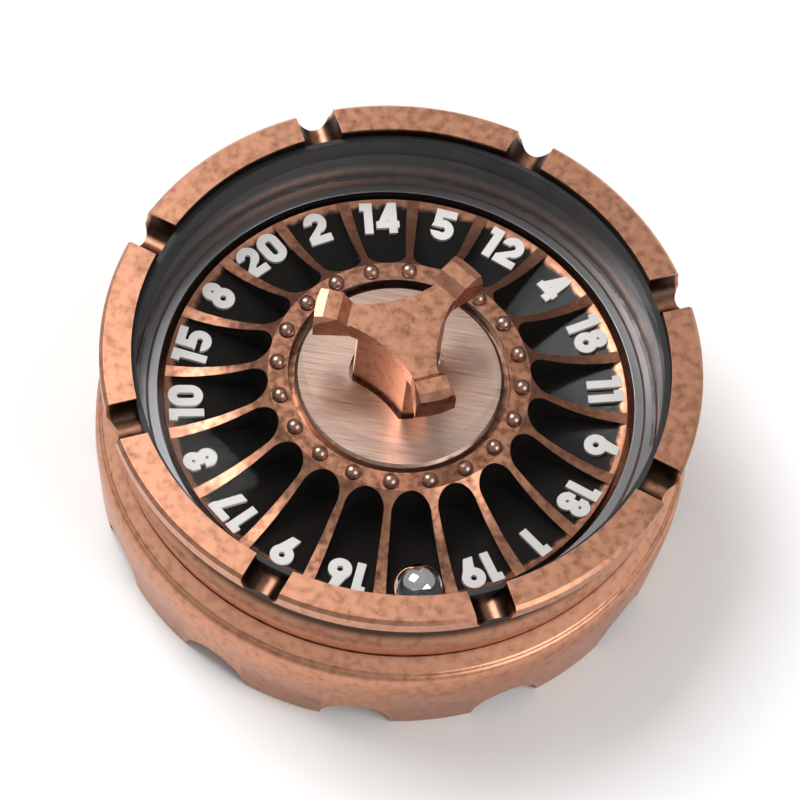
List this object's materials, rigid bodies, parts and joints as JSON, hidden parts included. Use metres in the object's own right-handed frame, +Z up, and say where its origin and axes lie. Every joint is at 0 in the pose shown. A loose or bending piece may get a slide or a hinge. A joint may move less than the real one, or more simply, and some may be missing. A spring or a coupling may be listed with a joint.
{
  "type": "pocket number spinner",
  "caption": "Round copper case with a clear crystal, a numbered pocket wheel that spins on a bearing, a loose ball and a sprung three-armed knob.",
  "frame": {"origin": "centre of the standing face", "axes": "+Z up along the wheel's axis, +Y to the top of the dial"},
  "size_m": [0.051, 0.051, 0.0245],
  "materials": {
    "copper": "satin copper",
    "wheel_copper": "satin copper, blackened pockets",
    "cap_copper": "brushed pale copper",
    "figure_white": "raised off-white",
    "crystal": "clear",
    "steel": "turned steel",
    "spring_steel": "drawn wire",
    "ball_chrome": "polished",
    "black_rubber": "matt",
    "track_grey": "satin",
    "cover_brass": "satin",
    "cage_plastic": "moulded"
  },
  "bodies": {
    "case": {"case_body": "copper", "base_cover": "cover_brass", "base_screws": "steel", "bezel_ring": "copper", "crystal": "crystal", "crystal_gasket": "black_rubber", "track_ring": "track_grey", "bearing_outer_race": "steel", "bearing_clip": "spring_steel", "bearing_shields": "steel"},
    "wheel": {"number_wheel": "wheel_copper", "numerals": "figure_white", "hub_cap": "cap_copper", "hub_screws": "steel", "bearing_inner_race": "steel", "wheel_nut": "steel", "knob_spring": "spring_steel"},
    "ball_cage": {"bearing_balls": "ball_chrome", "bearing_cage": "cage_plastic"},
    "knob": {"knob": "copper", "knob_washer": "steel", "knob_screw": "steel"},
    "ball": {"steel_ball": "ball_chrome"}
  },
  "joints": [
    {"name": "wheel_spin", "type": "hinge", "parent": "case", "child": "wheel", "pos_m": [0, 0, 0.007], "axis": [0, 0, 1], "continuous": true},
    {"name": "cage_spin", "type": "hinge", "parent": "case", "child": "ball_cage", "pos_m": [0, 0, 0.007], "axis": [0, 0, 1], "continuous": true},
    {"name": "knob_press", "type": "slide", "parent": "wheel", "child": "knob", "axis": [0, 0, 1], "range_m": [-0.005, 0], "stiffness_N_per_m": 150, "springref_m": 0.002, "deforming": ["knob_spring"]},
    {"name": "ball_orbit", "type": "hinge", "parent": "case", "child": "ball", "pos_m": [0, 0, 0.0144], "axis": [0, 0, 1], "continuous": true}
  ],
  "couplings": [
    {"joint": "cage_spin", "follows": "wheel_spin", "ratio": 0.4561}
  ]
}
